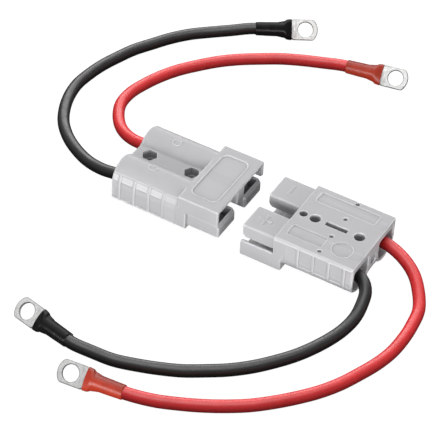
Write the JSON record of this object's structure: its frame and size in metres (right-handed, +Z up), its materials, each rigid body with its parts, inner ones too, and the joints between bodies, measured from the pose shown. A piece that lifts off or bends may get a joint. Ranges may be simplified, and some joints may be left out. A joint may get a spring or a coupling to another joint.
{
  "type": "cable connector",
  "caption": "Battery quick connector pair: genderless plastic housings with sprung blade contacts that push together, each on a red and a black lead ending in a ring lug.",
  "frame": {"origin": "on the surface the pair lies on, midway between the two housings", "axes": "+X along the mating direction, from the turned-over half to the upright half; +Z up, normal to the housings' flat faces"},
  "size_m": [0.1873, 0.2337, 0.0158],
  "materials": {
    "housing_plastic": "moulded, fine grain, satin",
    "contact_silver": "silver-plated copper, smooth",
    "spring_steel": "spring temper stainless",
    "copper_strand": "bare copper strands",
    "black_insulation": "soft PVC, satin",
    "red_insulation": "soft PVC, satin",
    "black_heat_shrink": "polyolefin, semi-gloss",
    "red_heat_shrink": "polyolefin, semi-gloss, slightly see-through",
    "tinned_copper": "bright tin plate"
  },
  "bodies": {
    "right_half": {"right_housing": "housing_plastic", "right_black_spring": "spring_steel", "right_black_conductor": "copper_strand", "right_black_jacket": "black_insulation", "right_black_lug": "tinned_copper", "right_black_sleeve": "black_heat_shrink", "right_red_spring": "spring_steel", "right_red_conductor": "copper_strand", "right_red_jacket": "red_insulation", "right_red_lug": "tinned_copper", "right_red_sleeve": "red_heat_shrink"},
    "left_half": {"left_housing": "housing_plastic", "left_black_spring": "spring_steel", "left_black_conductor": "copper_strand", "left_black_jacket": "black_insulation", "left_black_lug": "tinned_copper", "left_black_sleeve": "black_heat_shrink", "left_red_spring": "spring_steel", "left_red_conductor": "copper_strand", "left_red_jacket": "red_insulation", "left_red_lug": "tinned_copper", "left_red_sleeve": "red_heat_shrink"},
    "right_black_contact": {"right_black_contact": "contact_silver"},
    "right_red_contact": {"right_red_contact": "contact_silver"},
    "left_black_contact": {"left_black_contact": "contact_silver"},
    "left_red_contact": {"left_red_contact": "contact_silver"}
  },
  "joints": [
    {"name": "mating_slide", "type": "slide", "parent": "right_half", "child": "left_half", "axis": [1, 0, 0], "range_m": [0, 0.02435]},
    {"name": "right_black_contact_float", "type": "hinge", "parent": "right_half", "child": "right_black_contact", "pos_m": [0.037, -0.01035, 0.0079], "axis": [0, 1, 0], "range_deg": [0, 1.2], "stiffness_Nm_per_rad": 0.6, "springref_deg": -2.86, "deforming": ["right_black_spring"]},
    {"name": "right_red_contact_float", "type": "hinge", "parent": "right_half", "child": "right_red_contact", "pos_m": [0.037, 0.01035, 0.0079], "axis": [0, 1, 0], "range_deg": [0, 1.2], "stiffness_Nm_per_rad": 0.6, "springref_deg": -2.86, "deforming": ["right_red_spring"]},
    {"name": "left_black_contact_float", "type": "hinge", "parent": "left_half", "child": "left_black_contact", "pos_m": [-0.037, -0.01035, 0.0079], "axis": [0, 1, 0], "range_deg": [0, 1.2], "stiffness_Nm_per_rad": 0.6, "springref_deg": -2.86, "deforming": ["left_black_spring"]},
    {"name": "left_red_contact_float", "type": "hinge", "parent": "left_half", "child": "left_red_contact", "pos_m": [-0.037, 0.01035, 0.0079], "axis": [0, 1, 0], "range_deg": [0, 1.2], "stiffness_Nm_per_rad": 0.6, "springref_deg": -2.86, "deforming": ["left_red_spring"]}
  ]
}
